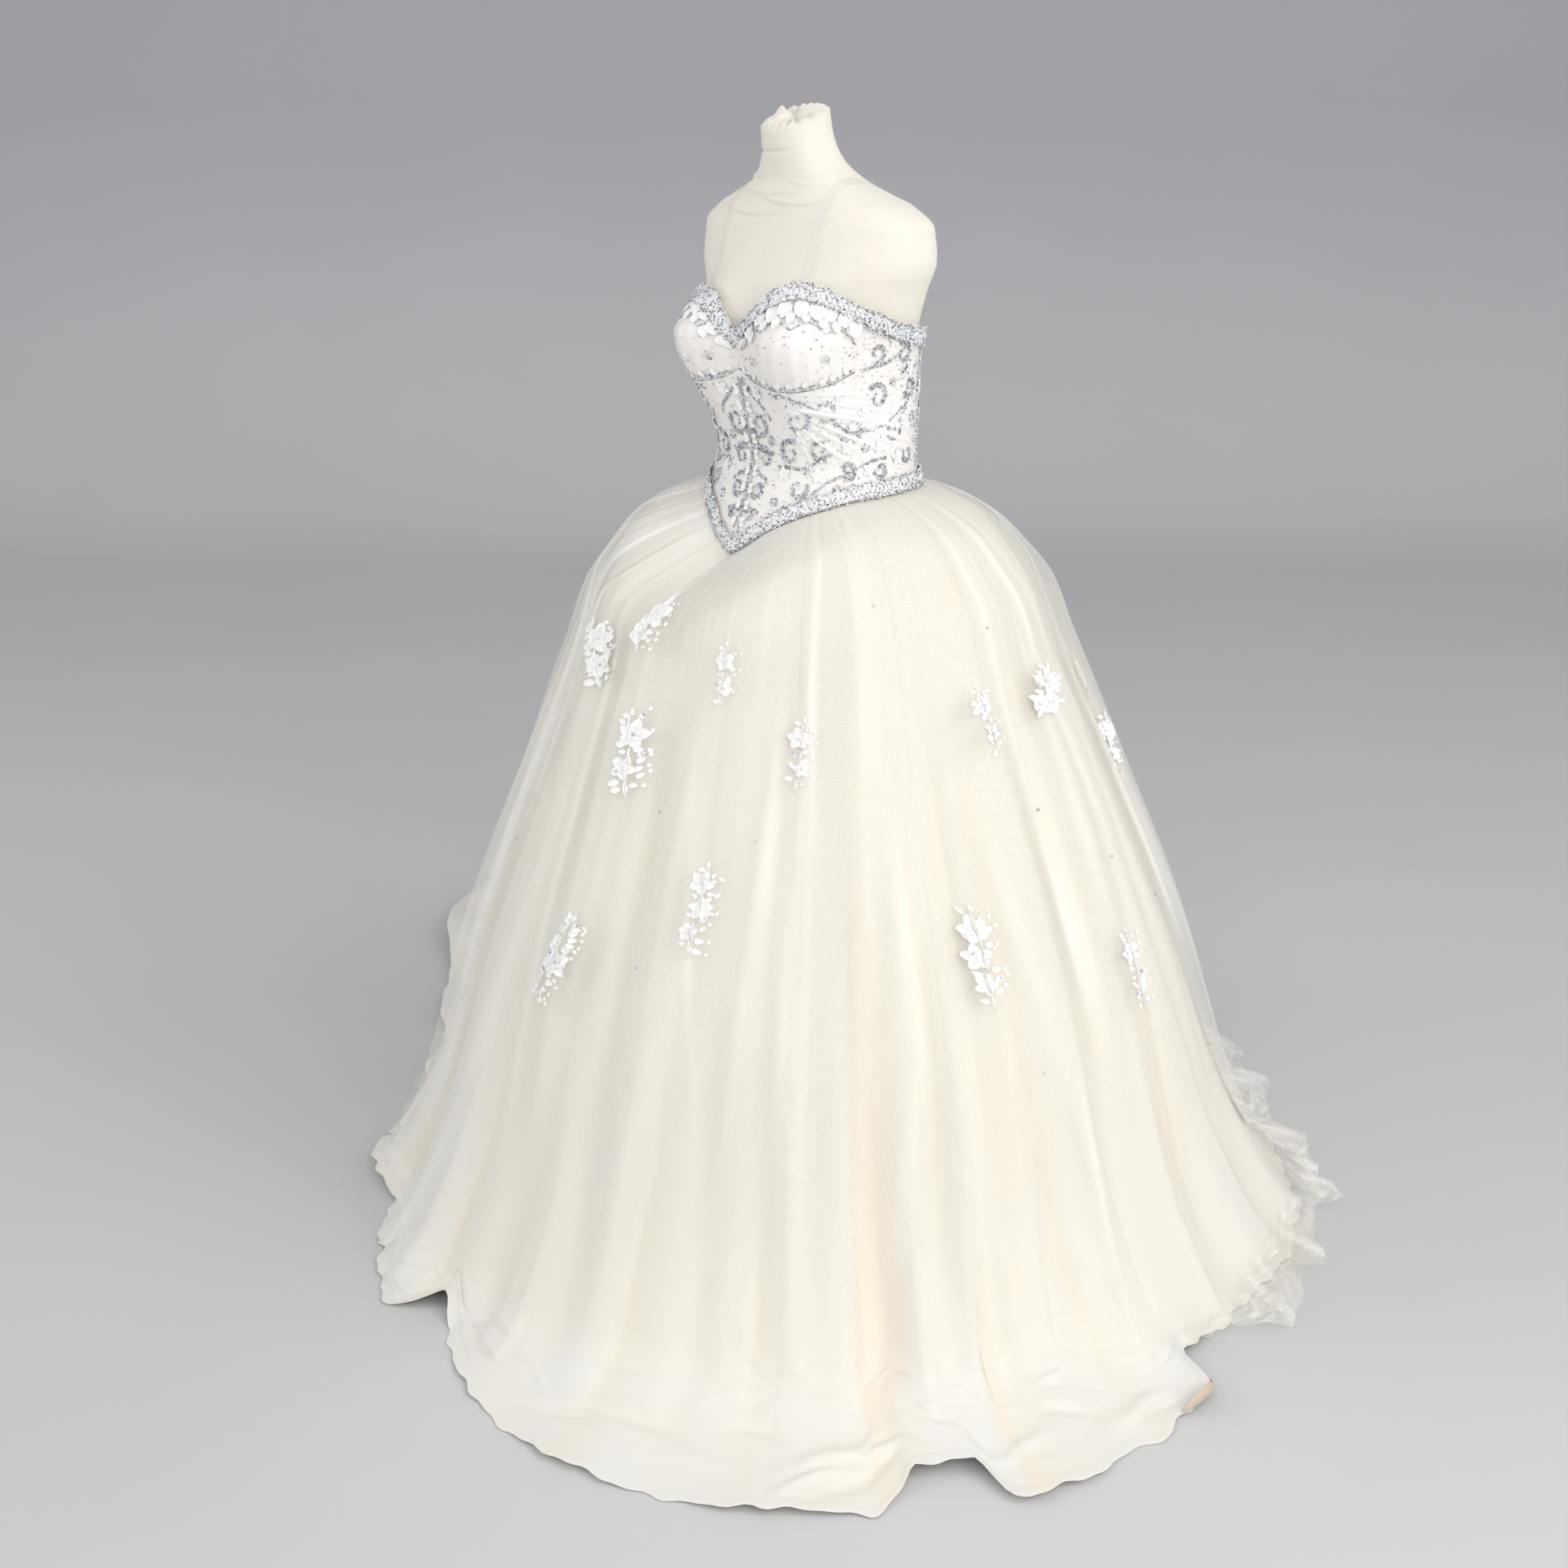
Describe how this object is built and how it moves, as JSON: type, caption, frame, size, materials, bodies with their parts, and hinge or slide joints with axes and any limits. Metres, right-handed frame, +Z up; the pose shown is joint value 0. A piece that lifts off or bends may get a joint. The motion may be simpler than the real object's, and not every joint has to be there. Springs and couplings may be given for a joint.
{
  "type": "wedding dress on a dress form",
  "caption": "Strapless ball gown with a beaded pointed bodice, pleated sheer overlay and short train, on a limbless dress form with a round foot.",
  "frame": {"origin": "on the floor, in the middle of the stand's round foot and under the axis of the dress form", "axes": "+Z up, -Y towards the front of the gown, +X towards the wearer's left"},
  "size_m": [2.099, 1.8399, 1.6009],
  "materials": {
    "ivory_satin": "satin",
    "sheer_tulle": "sheer net",
    "white_lace": "matt",
    "silver_beads": "glossy beads",
    "cream_jersey": "matt knit",
    "clear_tape": "clear",
    "stand_steel": "brushed"
  },
  "bodies": {
    "root": {"applique_01": "white_lace", "applique_02": "white_lace", "applique_03": "white_lace", "applique_04": "white_lace", "applique_05": "white_lace", "applique_06": "white_lace", "applique_07": "white_lace", "applique_08": "white_lace", "applique_09": "white_lace", "applique_10": "white_lace", "applique_11": "white_lace", "applique_12": "white_lace", "applique_13": "white_lace", "applique_14": "white_lace", "applique_15": "white_lace", "applique_16": "white_lace", "applique_17": "white_lace", "bodice_back_left": "ivory_satin", "bodice_back_right": "ivory_satin", "bodice_front": "ivory_satin", "bodice_side_left": "ivory_satin", "bodice_side_right": "ivory_satin", "cup_left": "ivory_satin", "cup_right": "ivory_satin", "form_torso": "cream_jersey", "neckline_trim": "silver_beads", "satin_back_left": "ivory_satin", "satin_back_right": "ivory_satin", "satin_front": "ivory_satin", "satin_front_right": "ivory_satin", "satin_side_back_left": "ivory_satin", "satin_side_back_right": "ivory_satin", "satin_side_front_left": "ivory_satin", "satin_side_front_right": "ivory_satin", "satin_side_left": "ivory_satin", "satin_side_right": "ivory_satin", "stand_base": "stand_steel", "stand_pole": "stand_steel", "strap_left": "clear_tape", "strap_right": "clear_tape", "tulle_1": "sheer_tulle", "tulle_2": "sheer_tulle", "tulle_3": "sheer_tulle", "tulle_4": "sheer_tulle", "tulle_5": "sheer_tulle", "tulle_6": "sheer_tulle", "waist_trim": "silver_beads"}
  },
  "joints": []
}
